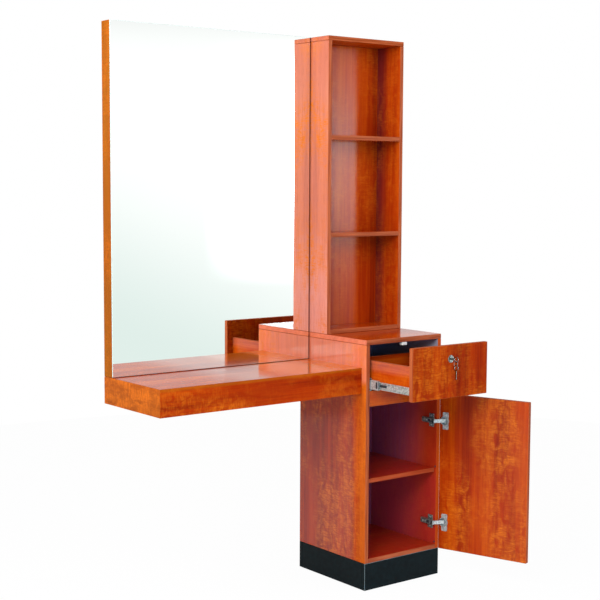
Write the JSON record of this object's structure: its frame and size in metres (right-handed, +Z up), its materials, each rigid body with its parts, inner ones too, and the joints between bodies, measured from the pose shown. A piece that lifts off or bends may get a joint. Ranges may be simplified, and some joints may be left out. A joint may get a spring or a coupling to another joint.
{
  "type": "salon mirror station",
  "caption": "Salon mirror station: a long ledge and mirror panel beside a slim cabinet with a lockable drawer and a hinged door, under a tower of open shelves.",
  "frame": {"origin": "on the floor, under the middle of the plinth's back board", "axes": "+X along the mirror from the ledge towards the cabinet, +Y from the front to the back, +Z up"},
  "size_m": [1.3349, 0.7238, 2],
  "materials": {
    "cherry_laminate": "gloss",
    "black_laminate": "satin",
    "hardboard": "matte",
    "mirror_glass": "polished",
    "zinc_steel": "satin",
    "nickel": "polished",
    "dark_nylon": "satin",
    "white_nylon": "satin",
    "cast_iron": "matte"
  },
  "bodies": {
    "station": {"plinth_front": "black_laminate", "plinth_back": "black_laminate", "plinth_left": "black_laminate", "plinth_right": "black_laminate", "counterweight": "cast_iron", "cabinet_left_side": "cherry_laminate", "cabinet_right_side": "cherry_laminate", "cabinet_floor": "cherry_laminate", "cabinet_back": "cherry_laminate", "cabinet_top": "cherry_laminate", "inner_shelf": "cherry_laminate", "drawer_rail": "cherry_laminate", "drawer_divider": "cherry_laminate", "drawer_catch": "white_nylon", "tower_left_side": "cherry_laminate", "tower_right_side": "cherry_laminate", "tower_roof": "cherry_laminate", "tower_back": "cherry_laminate", "tower_floor": "cherry_laminate", "tower_lower_shelf": "cherry_laminate", "tower_upper_shelf": "cherry_laminate", "ledge_top": "cherry_laminate", "ledge_front": "cherry_laminate", "ledge_left_end": "cherry_laminate", "ledge_right_end": "cherry_laminate", "mirror_left_stile": "cherry_laminate", "mirror_right_stile": "cherry_laminate", "mirror_top_rail": "cherry_laminate", "mirror_bottom_rail": "cherry_laminate", "mirror_backing": "hardboard", "back_panel": "cherry_laminate", "mirror_glass": "mirror_glass", "slide_outer_left": "zinc_steel", "slide_outer_right": "zinc_steel", "hinge_arm_upper": "zinc_steel", "hinge_arm_lower": "zinc_steel"},
    "slide_middles": {"slide_middle_left": "zinc_steel", "slide_middle_right": "zinc_steel"},
    "outer_cages": {"ball_cage_outer_left": "dark_nylon", "ball_cage_outer_right": "dark_nylon"},
    "inner_cages": {"ball_cage_inner_left": "dark_nylon", "ball_cage_inner_right": "dark_nylon"},
    "drawer": {"drawer_front": "cherry_laminate", "drawer_left_side": "cherry_laminate", "drawer_right_side": "cherry_laminate", "drawer_back": "cherry_laminate", "drawer_bottom": "hardboard", "slide_inner_left": "zinc_steel", "slide_inner_right": "zinc_steel", "lock_case": "nickel"},
    "plug_and_key": {"lock_plug": "nickel", "key": "nickel"},
    "bolt": {"lock_bolt": "nickel"},
    "ring_and_spare_key": {"key_ring": "nickel", "spare_key": "nickel"},
    "door_leaf": {"door": "cherry_laminate", "hinge_cup_upper": "zinc_steel", "hinge_cup_lower": "zinc_steel"},
    "hinge_links": {"hinge_link_upper": "zinc_steel", "hinge_link_lower": "zinc_steel"}
  },
  "joints": [
    {"name": "middle_slide", "type": "slide", "parent": "station", "child": "slide_middles", "axis": [0, -1, 0], "range_m": [-0.045, 0.13]},
    {"name": "drawer_slide", "type": "slide", "parent": "slide_middles", "child": "drawer", "axis": [0, -1, 0], "range_m": [-0.175, 0]},
    {"name": "outer_cage_roll", "type": "slide", "parent": "station", "child": "outer_cages", "axis": [0, -1, 0], "range_m": [-0.0225, 0.065]},
    {"name": "inner_cage_roll", "type": "slide", "parent": "slide_middles", "child": "inner_cages", "axis": [0, -1, 0], "range_m": [-0.0875, 0]},
    {"name": "door_swing", "type": "hinge", "parent": "station", "child": "door_leaf", "pos_m": [0.18, -0.375, 0.3919], "axis": [0, 0, 1], "range_deg": [-108, 0]},
    {"name": "hinge_link_swing", "type": "hinge", "parent": "station", "child": "hinge_links", "pos_m": [0.155, -0.3744, 0.3919], "axis": [0, 0, 1], "range_deg": [-170, 0]},
    {"name": "key_turn", "type": "hinge", "parent": "drawer", "child": "plug_and_key", "pos_m": [0, -0.62, 0.858], "axis": [0, -1, 0], "range_deg": [0, 90]},
    {"name": "bolt_lift", "type": "slide", "parent": "drawer", "child": "bolt", "axis": [0, 0, 1], "range_m": [0, 0.008]},
    {"name": "ring_hang", "type": "hinge", "parent": "plug_and_key", "child": "ring_and_spare_key", "pos_m": [0, -0.642, 0.849], "axis": [0, -1, 0], "range_deg": [-90, 0]}
  ],
  "couplings": [
    {"joint": "outer_cage_roll", "follows": "middle_slide", "ratio": 0.5},
    {"joint": "inner_cage_roll", "follows": "drawer_slide", "ratio": 0.5},
    {"joint": "hinge_link_swing", "follows": "door_swing", "ratio": 1.56},
    {"joint": "bolt_lift", "follows": "key_turn", "m_per_rad": 0.00509},
    {"joint": "ring_hang", "follows": "key_turn", "ratio": -1}
  ]
}
